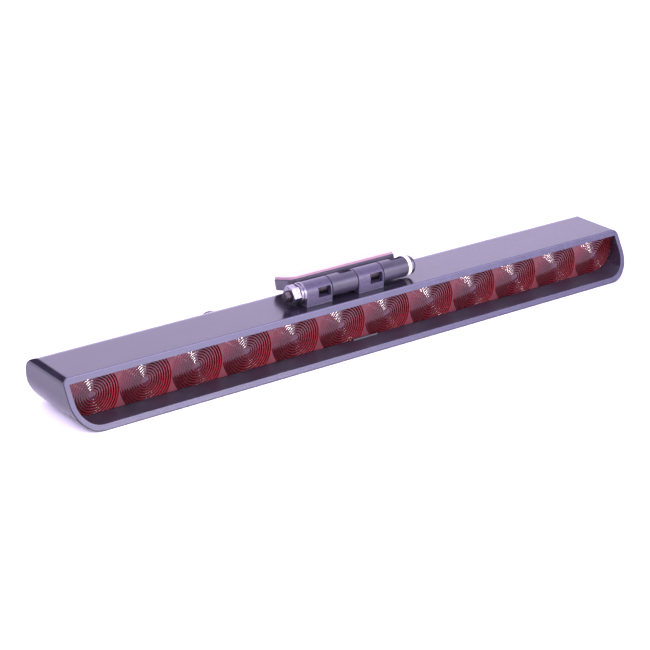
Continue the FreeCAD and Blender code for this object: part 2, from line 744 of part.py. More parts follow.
def make_cable_grommet():
    """A rubber grommet in the back wall: a flange each side of it, and a short tapered nose."""
    body = turned("cable_grommet", [
        ("dims.grommet_bore_radius", "-dims.wall - dims.grommet_flange"),
        ("dims.grommet_flange_radius", "-dims.wall - dims.grommet_flange"),
        ("dims.grommet_flange_radius", "-dims.wall - 0.2"),
        ("dims.grommet_neck_radius - 0.05", "-dims.wall - 0.2"),
        ("dims.grommet_neck_radius - 0.05", "0.15"),
        ("dims.grommet_flange_radius", "0.15"),
        ("dims.grommet_flange_radius", "dims.grommet_flange"),
        ("dims.grommet_neck_radius", "dims.grommet_flange + 0.6"),
        ("dims.grommet_bore_radius + 0.9", "dims.grommet_nose"),
        ("dims.grommet_bore_radius", "dims.grommet_nose")])
    finish(body, "dims.grommet_x", "dims.hood_depth", "dims.grommet_height", BACKWARD)


# ---- hinge leaf, tape and liner -------------------------------------------------------------
# The leaf is drawn about the hinge axis, with its own y along the pad and its own z square to it.

LEAF_TURN = "-dims.leaf_tilt"


def place_on_leaf(body):
    turn = Rotation(Vector(1, 0, 0), value(LEAF_TURN))
    return finish(body, "0", AXIS_Y, AXIS_Z, turn)


def pad_outline(sketch, inset):
    half = "dims.pad_length / 2 - " + inset
    corner = "dims.pad_corner - " + inset
    rounded_box(sketch, "dims.pad_shift - (%s)" % half, "dims.pad_shift + " + half,
                "dims.pad_start + " + inset, "%s - %s" % (PAD_END, inset), corner, corner)


def make_mount_plate():
    """The hinge leaf: two knuckles with a window each, two arms, and a skirted pad."""
    body = new_body("mount_plate")
    plate = new_sketch(body, "plate", "XY_Plane", "dims.pad_top")
    pad_outline(plate, "0")
    pad(body, plate, "dims.pad_thickness", backwards=True)
    fillet(body, "pad_round", "dims.pad_round", lambda edge: edge.BoundBox.ZLength < 0.01)
    hollow = new_sketch(body, "hollow", "XY_Plane", "dims.pad_top - dims.pad_thickness")
    pad_outline(hollow, "dims.pad_skirt")
    pocket(body, hollow, "dims.pad_thickness - dims.pad_skin", backwards=True)

    ribs = new_sketch(body, "ribs", "XY_Plane", "dims.pad_top - dims.pad_thickness + 0.5")
    for index in range(1, KNUCKLES, 2):
        middle = "%s + (%s) / 2" % (knuckle_start(index), KNUCKLE_LENGTH)
        polygon(ribs, [(middle + " - 0.7", "dims.pad_start + 0.5"),
                       (middle + " + 0.7", "dims.pad_start + 0.5"),
                       (middle + " + 0.7", PAD_END + " - 0.5"),
                       (middle + " - 0.7", PAD_END + " - 0.5")])
    pad(body, ribs, "dims.pad_thickness - dims.pad_skin")

    floor = "dims.pad_top - dims.pad_thickness"
    for index in range(1, KNUCKLES, 2):
        start = knuckle_start(index)
        barrel = new_sketch(body, "barrel_%d" % index, "YZ_Plane", start)
        circle(barrel, "0", "0", "dims.knuckle_radius")
        pad(body, barrel, KNUCKLE_LENGTH)

    def at_a_barrel_end(edge):
        """True for the circle round the end of a knuckle."""
        box = edge.BoundBox
        return box.XLength < 0.01 and box.YMax < value("dims.knuckle_radius") + 0.01

    fillet(body, "barrel_round", "dims.knuckle_round", at_a_barrel_end)
    for index in range(1, KNUCKLES, 2):
        start = knuckle_start(index)
        arm = new_sketch(body, "arm_%d" % index, "YZ_Plane", start)
        polygon(arm, [("0", floor), ("dims.pad_start + 1", floor),
                      ("dims.pad_start + 1", "dims.arm_top"), ("0", "dims.arm_top")])
        pad(body, arm, KNUCKLE_LENGTH)

    bore = new_sketch(body, "bore", "YZ_Plane")
    circle(bore, "0", "0", "dims.bore_radius")
    pocket(body, bore, "%d * dims.knuckle_pitch + 2" % KNUCKLES, symmetric=True)

    windows = new_sketch(body, "windows", "XY_Plane", "dims.knuckle_radius + 1")
    half = "dims.window_height / 2"
    for index in range(1, KNUCKLES, 2):
        start = "%s + dims.window_start" % knuckle_start(index)
        end = start + " + dims.window_length"
        polygon(windows, [(start, "-" + half), (end, "-" + half), (end, half), (start, half)])
    pocket(body, windows, "dims.knuckle_radius + 1")
    place_on_leaf(body)


def make_tape():
    """The foam tape on the pad and the release film on the tape."""
    foam = new_body("adhesive_foam")
    sketch = new_sketch(foam, "outline", "XY_Plane", "dims.pad_top")
    pad_outline(sketch, "dims.foam_inset")
    pad(foam, sketch, "dims.foam_thickness")
    place_on_leaf(foam)

    liner = new_body("tape_liner")
    sketch = new_sketch(liner, "outline", "XY_Plane", "dims.pad_top + dims.foam_thickness")
    pad_outline(sketch, "0")
    pad(liner, sketch, "dims.liner_thickness")
    place_on_leaf(liner)


# ---- hinge bolt, nut and washers ------------------------------------------------------------
# Each is drawn about its own Z axis, which points along +X on the lamp.

NYLON_SEAT = "%s + %s + dims.nylon_gap" % (knuckle_start(KNUCKLES - 1), KNUCKLE_LENGTH)
HEAD_SEAT = "%s + dims.nylon_thickness" % NYLON_SEAT
SPRING_SEAT = "%s - dims.flat_washer_thickness" % ROW_START
NUT_SEAT = "%s - dims.spring_washer_thickness" % SPRING_SEAT


def ring(label, radius, bore, thickness):
    body = new_body(label)
    sketch = new_sketch(body, "ring", "XY_Plane")
    circle(sketch, "0", "0", radius)
    circle(sketch, "0", "0", bore)
    pad(body, sketch, thickness)
    return body


def place_on_bolt(body, x):
    return finish(body, x, AXIS_Y, AXIS_Z, LENGTHWISE)


def make_hinge_bolt():
    """A pan-head screw with a cross recess; z = 0 is the underside of its head."""
    body = turned("hinge_bolt", [
        ("0", "-dims.bolt_length"),
        ("dims.bolt_radius - dims.bolt_chamfer", "-dims.bolt_length"),
        ("dims.bolt_radius", "-dims.bolt_length + dims.bolt_chamfer"),
        ("dims.bolt_radius", "0"),
        ("dims.head_radius", "0"),
        ("dims.head_radius", "dims.head_height * 0.45"),
        ("dims.head_radius * 0.9", "dims.head_height * 0.8"),
        ("dims.head_radius * 0.6", "dims.head_height"),
        ("0", "dims.head_height")])
    for name, half_x, half_y in (("slot_1", "dims.recess_length / 2", "dims.recess_width / 2"),
                                 ("slot_2", "dims.recess_width / 2", "dims.recess_length / 2")):
        slot = new_sketch(body, name, "XY_Plane", "dims.head_height")
        polygon(slot, [("-" + half_x, "-" + half_y), (half_x, "-" + half_y),
                       (half_x, half_y), ("-" + half_x, half_y)])
        pocket(body, slot, "dims.recess_depth")
    place_on_bolt(body, HEAD_SEAT)


def make_hex_nut():
    """A hexagonal nut with its corners turned off at both faces."""
    body = turned("hex_nut", [
        ("dims.nut_bore_radius", "0"),
        ("dims.nut_flats / 2 - 0.1", "0"),
        ("dims.nut_flats / sqrt(3) + 0.1", "0.45"),
        ("dims.nut_flats / sqrt(3) + 0.1", "dims.nut_height - 0.45"),
        ("dims.nut_flats / 2 - 0.1", "dims.nut_height"),
        ("dims.nut_bore_radius", "dims.nut_height")])
    flats = new_sketch(body, "flats", "XY_Plane", "dims.nut_height + 1")
    circle(flats, "0", "0", "dims.nut_flats")
    corner = "dims.nut_flats / sqrt(3)"
    half = "dims.nut_flats / 2"
    polygon(flats, [("0", "-" + corner), (half, "-%s / 2" % corner), (half, corner + " / 2"),
                    ("0", corner), ("-" + half, corner + " / 2"),
                    ("-" + half, "-%s / 2" % corner)])
    pocket(body, flats, "dims.nut_height + 2")
    place_on_bolt(body, "%s - dims.nut_height" % NUT_SEAT)


def make_washers():
    nylon = ring("nylon_washer", "dims.nylon_radius", "dims.washer_bore_radius",
                 "dims.nylon_thickness")
    place_on_bolt(nylon, NYLON_SEAT)
    flat = ring("flat_washer", "dims.flat_washer_radius", "dims.washer_bore_radius",
                "dims.flat_washer_thickness")
    place_on_bolt(flat, SPRING_SEAT)

    spring = ring("spring_washer", "dims.spring_washer_radius", "dims.washer_bore_radius",
                  "dims.spring_washer_thickness")
    slit = new_sketch(spring, "slit", "YZ_Plane", "dims.spring_washer_radius + 1")
    polygon(slit, [("-dims.spring_washer_slit", "-0.5"), ("0", "-0.5"),
                   ("dims.spring_washer_slit", "dims.spring_washer_thickness + 0.5"),
                   ("0", "dims.spring_washer_thickness + 0.5")])
    pocket(spring, slit, "dims.spring_washer_radius + 1")
    turn = LENGTHWISE.multiply(Rotation(Vector(0, 0, 1), 60))
    finish(spring, NUT_SEAT, AXIS_Y, AXIS_Z, turn)


# ---- build, check and write -----------------------------------------------------------------

make_housing()
make_lens()
make_lens_seal()
make_circuit_board()
make_leds()
for number in range(STRINGS):
    axial_part("resistor_%d" % (number + 1), string_x(number), "dims.resistor_radius",
               "dims.resistor_length")
axial_part("polarity_diode", "dims.diode_x", "dims.diode_radius", "dims.diode_length")
make_wire_terminal()
make_board_screws()
make_cable_grommet()
make_mount_plate()
make_tape()
make_hinge_bolt()
make_hex_nut()
make_washers()
doc.recompute()

for thing in doc.Objects:
    if "Invalid" in thing.State or "Error" in thing.State:
        raise RuntimeError("%s failed: %s" % (thing.Name, thing.State))

os.makedirs("parts", exist_ok=True)
for node in nodes:
    shape = node.Shape
    if shape.isNull() or not shape.isValid():
        raise RuntimeError(node.Label + " has no valid shape")
    shape.exportStep(os.path.join("parts", node.Label + ".step"))
    box = shape.BoundBox
    print("%-16s solids %d volume %9.2f  x %.2f..%.2f  y %.2f..%.2f  z %.2f..%.2f" % (
        node.Label, len(shape.Solids), shape.Volume, box.XMin, box.XMax, box.YMin, box.YMax,
        box.ZMin, box.ZMax))
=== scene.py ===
import json
import math

import bmesh
import bpy
from mathutils import Matrix, Quaternion, Vector


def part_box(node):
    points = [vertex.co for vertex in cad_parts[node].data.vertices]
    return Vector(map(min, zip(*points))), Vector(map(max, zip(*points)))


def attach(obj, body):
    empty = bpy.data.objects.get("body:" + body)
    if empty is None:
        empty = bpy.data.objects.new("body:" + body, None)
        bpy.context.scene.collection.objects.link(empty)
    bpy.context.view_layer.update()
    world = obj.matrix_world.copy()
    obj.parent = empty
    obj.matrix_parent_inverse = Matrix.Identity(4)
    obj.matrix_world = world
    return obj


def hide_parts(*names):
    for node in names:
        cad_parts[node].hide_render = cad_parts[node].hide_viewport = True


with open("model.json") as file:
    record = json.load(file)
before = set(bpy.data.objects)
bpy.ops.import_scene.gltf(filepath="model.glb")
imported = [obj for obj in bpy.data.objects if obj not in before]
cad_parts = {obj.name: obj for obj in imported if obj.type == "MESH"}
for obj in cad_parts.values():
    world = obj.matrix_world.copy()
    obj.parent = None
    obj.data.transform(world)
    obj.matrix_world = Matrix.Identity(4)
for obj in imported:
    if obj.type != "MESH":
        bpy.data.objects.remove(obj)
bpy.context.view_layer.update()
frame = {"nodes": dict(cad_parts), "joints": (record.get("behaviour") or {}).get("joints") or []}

# Lengths below are metres. Lamp coordinates have y = 0 at the front edge of the hood's top.
MM = 0.001
FULL_TURN = 2 * math.pi
LENS_LOW, LENS_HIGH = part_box("lens")
LAMP_Y = LENS_LOW.y - 0.4 * MM
HOOD_HEIGHT = 21.4 * MM
LIP_REACH = 11.8 * MM
END_X = 150 * MM
CELLS = 12
CELL_PITCH = 24.8 * MM
CELL_HEIGHT = 10.7 * MM
HEART_RADIUS = 2.0 * MM
RING_COUNT = 9
RING_PITCH = 1.15 * MM
RINGS_END = HEART_RADIUS + RING_COUNT * RING_PITCH
HINGE = Vector(frame["joints"][0]["pos_m"])

# Depths of bump, and how strongly the moulded plastics bend light.
FINE_BUMP = 0.02 * MM
WAVE_BUMP = 0.04 * MM
PLASTIC_IOR = 1.52


# ---- node helpers ---------------------------------------------------------------------------

def new_material(name):
    """A new material, with its node tree and its Principled shader."""
    material = bpy.data.materials.new(name)
    material.use_nodes = True
    tree = material.node_tree
    shader = tree.nodes["Principled BSDF"]
    return material, tree, shader


def add(tree, kind, inputs=None, **settings):
    node = tree.nodes.new(kind)
    for key, value in settings.items():
        setattr(node, key, value)
    for key, value in (inputs or {}).items():
        socket = node.inputs[key]
        if isinstance(value, bpy.types.NodeSocket):
            tree.links.new(value, socket)
        else:
            socket.default_value = value
    return node


def object_space(tree, scale=(1, 1, 1)):
    coordinates = add(tree, "ShaderNodeTexCoord").outputs["Object"]
    return add(tree, "ShaderNodeMapping", {"Vector": coordinates, "Scale": scale}).outputs[0]


def noise(tree, vector, scale, detail=4.0, roughness=0.55):
    node = add(tree, "ShaderNodeTexNoise", {"Vector": vector, "Scale": scale, "Detail": detail,
                                            "Roughness": roughness})
    return node.outputs["Fac"]


def ramp(tree, factor, stops):
    """A colour ramp from (position, colour) stops; a number in place of a colour is a grey."""
    node = add(tree, "ShaderNodeValToRGB", {"Fac": factor})
    elements = node.color_ramp.elements
    while len(elements) < len(stops):
        elements.new(0.5)
    for element, (position, colour) in zip(elements, stops):
        element.position = position
        if isinstance(colour, (int, float)):
            colour = (colour, colour, colour)
        element.color = (*colour, 1)
    return node.outputs["Color"]


def math_node(tree, operation, a, b=0.0, clamp=False):
    node = add(tree, "ShaderNodeMath", {0: a, 1: b}, operation=operation)
    node.use_clamp = clamp
    return node.outputs[0]


def band(tree, value, edge, width):
    """0 below an edge and 1 above it, with a soft step of the given width."""
    return ramp_value(tree, value, edge - width / 2, edge + width / 2, 0, 1)


def ramp_value(tree, value, low, high, at_low, at_high):
    """A soft step from one number at the low end of a range to another at its high end."""
    node = add(tree, "ShaderNodeMapRange", {"Value": value, "From Min": low, "From Max": high,
                                            "To Min": at_low, "To Max": at_high})
    node.interpolation_type = "SMOOTHSTEP"
    return node.outputs["Result"]


def mix(tree, factor, a, b):
    """Blends two colours, each a socket or an (r, g, b) triple."""
    node = add(tree, "ShaderNodeMix", data_type="RGBA")
    for index, item in ((0, factor), (6, a), (7, b)):
        socket = node.inputs[index]
        if isinstance(item, bpy.types.NodeSocket):
            tree.links.new(item, socket)
        else:
            socket.default_value = (*item, 1) if index else item
    return node.outputs[2]


def bump(tree, height, strength, distance, normal=None):
    inputs = {"Height": height, "Strength": strength, "Distance": distance}
    if normal is not None:
        inputs["Normal"] = normal
    return add(tree, "ShaderNodeBump", inputs).outputs["Normal"]


def finish_with(tree, shader, colour=None, roughness=None, normal=None, **sockets):
    """Links a material's textures to its shader, and sets any other socket to a number."""
    for key, source in (("Base Color", colour), ("Roughness", roughness), ("Normal", normal)):
        if source is not None:
            tree.links.new(source, shader.inputs[key])
    for key, value in sockets.items():
        shader.inputs[key.replace("_", " ")].default_value = value


# ---- materials ------------------------------------------------------------------------------

def moulded_plastic(name, dark, light, rough_low, rough_high, grain=0.3):
    """Injection-moulded plastic: faint flow mottling, fine grain, uneven gloss."""
    material, tree, shader = new_material(name)
    space = object_space(tree)
    flow = noise(tree, object_space(tree, (0.35, 1, 1)), 160, 5)
    fine = noise(tree, space, 2600, 3, 0.6)
    colour = ramp(tree, flow, [(0.3, dark), (0.7, light)])
    gloss = ramp(tree, noise(tree, space, 420, 4), [(0.3, rough_low), (0.72, rough_high)])
    waves = bump(tree, flow, 0.25, WAVE_BUMP)
    normal = bump(tree, fine, grain, FINE_BUMP, waves)
    finish_with(tree, shader, colour, gloss, normal, IOR=PLASTIC_IOR)
    return material


def all_of(tree, *masks):
    """A mask that is 1 only where every one of the given masks is."""
    result = masks[0]
    for mask in masks[1:]:
        result = math_node(tree, "MULTIPLY", result, mask)
    return result


def mouth_floor(tree, place):
    """A mask of the mouth's floor, without the leaning rim, the underside or the outer ends."""
    across, along, height = place
    low = ramp_value(tree, height, 5.5 * MM, 6.5 * MM, 1, 0)
    before_lens = ramp_value(tree, along, LENS_LOW.y, LENS_LOW.y + 0.2 * MM, 1, 0)
    above_underside = band(tree, height, 0.6 * MM, 0.2 * MM)
    lean = math_node(tree, "MULTIPLY", height, LIP_REACH / HOOD_HEIGHT)
    behind_rim = band(tree, math_node(tree, "SUBTRACT", along, lean),
                      LAMP_Y - LIP_REACH + 0.3 * MM, 0.2 * MM)
    between_ends = ramp_value(tree, math_node(tree, "ABSOLUTE", across),
                              END_X - 1.4 * MM, END_X - 1.2 * MM, 1, 0)
    return all_of(tree, low, before_lens, above_underside, behind_rim, between_ends)


def hood_plastic():
    """Glossy all over, apart from the hinge knuckles, which have the mould's dull texture."""
    material, tree, shader = new_material("hood_plastic")
    space = object_space(tree)
    place = add(tree, "ShaderNodeSeparateXYZ", {"Vector": space}).outputs
    height = place[2]
    flow = noise(tree, object_space(tree, (0.35, 1, 1)), 160, 5)
    fine = noise(tree, space, 2600, 3, 0.6)
    coarse = noise(tree, space, 1300, 4, 0.65)
    gloss = ramp(tree, noise(tree, space, 420, 4), [(0.3, 0.15), (0.72, 0.24)])
    dull = ramp(tree, coarse, [(0.3, 0.3), (0.7, 0.42)])
    textured = band(tree, height, HOOD_HEIGHT + 0.35 * MM, 0.3 * MM)
    smooth = ramp(tree, flow, [(0.3, (0.010, 0.008, 0.013)), (0.7, (0.018, 0.015, 0.024))])
    rough = ramp(tree, coarse, [(0.3, (0.024, 0.02, 0.036)), (0.7, (0.056, 0.046, 0.084))])
    # the floor of the mouth is duller than the outside
    mouth = mouth_floor(tree, place)
    gloss = mix(tree, mouth, gloss, (0.45, 0.45, 0.45))
    # painted highlight: the rounded edge between the top and the mouth's face is painted a little
    # lighter
    edge_highlight = math_node(tree, "MULTIPLY", band(tree, height, HOOD_HEIGHT - 0.5 * MM, 0.1 * MM),
                     ramp_value(tree, place[1], LAMP_Y + 0.25 * MM, LAMP_Y + 0.4 * MM, 1, 0))
    smooth = mix(tree, edge_highlight, smooth, (0.045, 0.04, 0.06))
    waves = bump(tree, flow, 0.25, WAVE_BUMP)
    pebbles = bump(tree, math_node(tree, "MULTIPLY", coarse, textured), 0.8, 0.06 * MM, waves)
    finish_with(tree, shader, mix(tree, textured, smooth, rough),
                mix(tree, textured, gloss, dull), bump(tree, fine, 0.3, FINE_BUMP, pebbles),
                IOR=PLASTIC_IOR)
    return material


def zinc_steel(name, dark, light, rough, brushed=(1, 40, 40)):
    """Zinc-plated steel with turning marks and a little dullness in patches."""
    material, tree, shader = new_material(name)
    marks = noise(tree, object_space(tree, brushed), 300, 3, 0.7)
    patches = noise(tree, object_space(tree), 500, 4)
    colour = ramp(tree, patches, [(0.3, dark), (0.65, light)])
    roughness = ramp(tree, patches, [(0.3, rough + 0.14), (0.7, rough)])
    normal = bump(tree, marks, 0.25, FINE_BUMP)
    finish_with(tree, shader, colour, roughness, normal, Metallic=1.0)
    return material


def cell_radius(tree, place):
    """Across and up from the nearest cell's heart, and the distance to it, all in metres."""
    shifted = math_node(tree, "ADD", place[0], CELL_PITCH * CELLS / 2)
    across = math_node(tree, "SUBTRACT", math_node(tree, "MODULO", shifted, CELL_PITCH),
                       CELL_PITCH / 2)
    up = math_node(tree, "SUBTRACT", place[2], CELL_HEIGHT)
    squares = math_node(tree, "ADD", math_node(tree, "MULTIPLY", across, across),
                        math_node(tree, "MULTIPLY", up, up))
    return across, up, math_node(tree, "SQRT", squares)


def lens_red():
    """Clear red acrylic, with painted shade in the grooves and a painted gradient of light across
    each cell, brightest towards its lower right corner.
    """
    material, tree, shader = new_material("lens_red")
    space = object_space(tree)
    across, up, radius = cell_radius(tree, add(tree, "ShaderNodeSeparateXYZ",
                                               {"Vector": space}).outputs)
    step = math_node(tree, "DIVIDE", math_node(tree, "SUBTRACT", radius, HEART_RADIUS),
                     RING_PITCH)
    phase = math_node(tree, "FRACT", step)
    # painted shade: the riser and crest band of every ring is marked for darkening
    groove_shade = math_node(tree, "MAXIMUM", band(tree, phase, 0.7, 0.1),
                       ramp_value(tree, phase, 0.1, 0.2, 1, 0))
    ringed = math_node(tree, "MULTIPLY", band(tree, radius, HEART_RADIUS, 0.1 * MM),
                       ramp_value(tree, radius, RINGS_END - 0.1 * MM, RINGS_END, 1, 0))
    groove_shade = math_node(tree, "MULTIPLY", groove_shade, ringed)

    cloud = noise(tree, space, 90, 3)
    # painted light and shade: each cell is painted brightest towards its lower right, a little
    # brighter at its upper left, and darker between
    lean = math_node(tree, "SUBTRACT", math_node(tree, "MULTIPLY", across, 0.75),
                     math_node(tree, "MULTIPLY", up, 0.7))
    lean = math_node(tree, "ADD", math_node(tree, "DIVIDE", lean, 24 * MM),
                     math_node(tree, "MULTIPLY", cloud, 0.12))
    lean = math_node(tree, "ADD", lean, 0.42)
    facet = ramp(tree, lean, [(0.05, (0.2, 0.012, 0.024)), (0.3, (0.085, 0.003, 0.007)),
                              (0.52, (0.13, 0.004, 0.008)), (0.7, (0.27, 0.006, 0.012)),
                              (0.9, (0.52, 0.014, 0.02))])
    flat = ramp(tree, cloud, [(0.3, (0.14, 0.016, 0.026)), (0.7, (0.2, 0.028, 0.04))])
    # painted shade: the heart of each cell is painted a darker, greyer red than the acrylic
    # around it
    heart = ramp(tree, cloud, [(0.3, (0.08, 0.022, 0.038)), (0.7, (0.12, 0.036, 0.056))])
    beyond = band(tree, radius, RINGS_END, 0.1 * MM)
    colour = mix(tree, beyond, facet, flat)
    colour = mix(tree, ramp_value(tree, radius, HEART_RADIUS - 0.3 * MM, HEART_RADIUS, 1, 0),
                 colour, heart)
    # painted shade in the grooves: the marked ring bands are painted near-black red
    colour = mix(tree, math_node(tree, "MULTIPLY", groove_shade, 0.94), colour, (0.012, 0.001, 0.002))
    gloss = ramp(tree, noise(tree, space, 700, 3), [(0.3, 0.05), (0.7, 0.1)])
    gloss = mix(tree, beyond, gloss, (0.4, 0.4, 0.4))
    normal = bump(tree, noise(tree, space, 1500, 2), 0.08, FINE_BUMP)
    finish_with(tree, shader, colour, gloss, normal, Transmission_Weight=0.5, IOR=1.49)
    return material


def led_red():
    """Clear red cast epoxy."""
    material, tree, shader = new_material("led_red")
    space = object_space(tree)
    colour = ramp(tree, noise(tree, space, 400, 3),
                  [(0.3, (0.7, 0.03, 0.03)), (0.7, (0.85, 0.06, 0.05))])
    gloss = ramp(tree, noise(tree, space, 900, 2), [(0.3, 0.05), (0.7, 0.12)])
    finish_with(tree, shader, colour, gloss, Transmission_Weight=0.6, IOR=1.53)
    return material


def board_green():
    """Green solder mask with the faint weave of the laminate under it."""
    material, tree, shader = new_material("board_green")
    space = object_space(tree)
    threads = [add(tree, "ShaderNodeTexWave",
                   {"Vector": space, "Scale": 160.0, "Distortion": 1.5},
                   bands_direction=direction).outputs[1] for direction in ("X", "Z")]
    weave = math_node(tree, "MULTIPLY", *threads)
    colour = ramp(tree, weave, [(0.0, (0.012, 0.09, 0.035)), (1.0, (0.03, 0.17, 0.07))])
    gloss = ramp(tree, noise(tree, space, 300, 3), [(0.3, 0.28), (0.7, 0.42)])
    finish_with(tree, shader, colour, gloss, bump(tree, weave, 0.2, WAVE_BUMP))
    return material


def banded_resistor():
    """Tan lacquer with four colour bands round the body, which lies along X."""
    material, tree, shader = new_material("resistor_body")
    space = object_space(tree)
    separate = add(tree, "ShaderNodeSeparateXYZ", {"Vector": space})
    # the four resistors sit a string of cells apart, so the bands repeat with that spacing
    spacing, body_length = CELL_PITCH * CELLS / 4, 6.3 * MM
    along = math_node(tree, "ADD", separate.outputs[0], CELL_PITCH * CELLS / 2)
    within = math_node(tree, "MODULO", along, spacing)
    offset = math_node(tree, "SUBTRACT", within, spacing / 2)
    place = math_node(tree, "DIVIDE", offset, body_length)
    place = math_node(tree, "ADD", place, 0.5, clamp=True)
    tan, brown = (0.52, 0.38, 0.22), (0.2, 0.07, 0.02)
    black, gold = (0.02, 0.02, 0.02), (0.55, 0.38, 0.08)
    bands = ramp(tree, place, [(0.0, tan), (0.14, brown), (0.22, tan), (0.34, black),
                               (0.42, tan), (0.54, brown), (0.62, tan), (0.8, gold),
                               (0.88, tan)])
    bands.node.color_ramp.interpolation = "CONSTANT"
    speckle = noise(tree, space, 1500, 3)
    gloss = ramp(tree, speckle, [(0.3, 0.35), (0.7, 0.5)])
    finish_with(tree, shader, bands, gloss, bump(tree, speckle, 0.15, 0.03 * MM))
    return material


def foam():
    """Closed-cell acrylic foam: greyish pink with fine pores."""
    material, tree, shader = new_material("foam_tape")
    space = object_space(tree)
    pores = add(tree, "ShaderNodeTexVoronoi", {"Vector": space, "Scale": 3200.0}).outputs[0]
    colour = ramp(tree, pores, [(0.05, (0.24, 0.14, 0.17)), (0.4, (0.4, 0.25, 0.29))])
    finish_with(tree, shader, colour, ramp(tree, pores, [(0, 0.7), (0.5, 0.9)]),
                bump(tree, pores, 0.4, 0.05 * MM))
    return material


def liner_film():
    """Waxed pale pink release film, a little uneven."""
    material, tree, shader = new_material("liner_film")
    space = object_space(tree)
    cloud = noise(tree, space, 70, 4)
    colour = ramp(tree, cloud, [(0.3, (0.6, 0.4, 0.46)), (0.7, (0.72, 0.52, 0.58))])
    ripple = noise(tree, object_space(tree, (1, 0.4, 1)), 120, 2)
    gloss = ramp(tree, cloud, [(0.3, 0.3), (0.7, 0.42)])
    finish_with(tree, shader, colour, gloss, bump(tree, ripple, 0.3, 0.1 * MM),
                Transmission_Weight=0.15)
    return material


def plain(name, dark, light, rough_low, rough_high):
    """A moulded or rubbery surface with cloudy colour and a fine bump."""
    material, tree, shader = new_material(name)
    space = object_space(tree)
    cloud = noise(tree, space, 600, 4)
    fine = noise(tree, space, 2400, 3)
    finish_with(tree, shader, ramp(tree, cloud, [(0.3, dark), (0.7, light)]),
                ramp(tree, cloud, [(0.3, rough_low), (0.7, rough_high)]),
                bump(tree, fine, 0.3, WAVE_BUMP))
    return material


def floor_paper():
    """Pale matt paper with faint clouds."""
    material, tree, shader = new_material("floor_paper")
    space = object_space(tree)
    cloud = noise(tree, space, 3, 3)
    colour = ramp(tree, cloud, [(0.3, (0.84, 0.84, 0.85)), (0.7, (0.87, 0.87, 0.88))])
    tooth = bump(tree, noise(tree, space, 900, 2), 0.1, 0.1 * MM)
    finish_with(tree, shader, colour, None, tooth, Roughness=0.8, Specular_IOR_Level=0.1)
    return material


# ---- mesh helpers ---------------------------------------------------------------------------

def circle_point(radius, angle, height):
    """A point at a distance and an angle round Z."""
    return radius * math.cos(angle), radius * math.sin(angle), height


def object_from(bm, name, material, smooth_angle=None):
    """A linked object with one material, smoothed up to an angle in degrees if one is given."""
    mesh = bpy.data.meshes.new(name)
    bmesh.ops.recalc_face_normals(bm, faces=bm.faces[:])
    bm.to_mesh(mesh)
    bm.free()
    piece = bpy.data.objects.new(name, mesh)
    bpy.context.scene.collection.objects.link(piece)
    mesh.materials.append(material)
    if smooth_angle is not None:
        mesh.polygons.foreach_set("use_smooth", [True] * len(mesh.polygons))
        mesh.set_sharp_from_angle(angle=math.radians(smooth_angle))
    return piece


def lathe(bm, profile, segments):
    """Turns (radius, height) points about Z; a point of radius 0 closes the end."""
    rings = []
    for radius, height in profile:
        if radius <= 0:
            rings.append([bm.verts.new((0, 0, height))])
            continue
        rings.append([bm.verts.new(circle_point(radius, FULL_TURN * i / segments, height))
                      for i in range(segments)])
    for low, high in zip(rings, rings[1:]):
        for i in range(segments):
            j = (i + 1) % segments
            corners = [low[i % len(low)], low[j % len(low)],
                       high[j % len(high)], high[i % len(high)]]
            unique = list(dict.fromkeys(corners))
            if len(unique) > 2:
                bm.faces.new(unique)


# ---- lens -----------------------------------------------------------------------------------

SPOKES = 96
BEYOND_CELL = 30 * MM
LENS_SMOOTH_ANGLE = 42


def facet_tilt(radius):
    """How far a ring's facet leans out, in radians: flat at the heart, steeper further out."""
    return math.radians(4 + 26 * min(1, radius / (12 * MM)) ** 0.8)


def cell_profile():
    """(radius, depth below the lens's front) points across a cell, from its heart outwards."""
    points = [(share * HEART_RADIUS, 0.3 * MM * share ** 2)
              for share in (0, 0.2, 0.4, 0.6, 0.8, 0.97)]
    crest = 0.16 * MM
    for index in range(RING_COUNT):
        start = HEART_RADIUS + index * RING_PITCH
        end = start + 0.8 * RING_PITCH
        for step in range(5):
            turn = math.radians(90 * step / 4)
            points.append((start + crest * (1 - math.cos(turn)), crest * (1 - math.sin(turn))))
        low = (end - start - crest) * math.tan(facet_tilt(end))
        points += [(end, low), (start + 0.96 * RING_PITCH, low + 0.12 * MM)]
    points.append((RINGS_END, 0.0))
    return points


def depth_at(profile, radius):
    """The profile's depth at a radius, and 0 beyond its end."""
    for (r0, d0), (r1, d1) in zip(profile, profile[1:]):
        if radius <= r1:
            share = (radius - r0) / (r1 - r0)
            return d0 + share * (d1 - d0)
    return 0.0


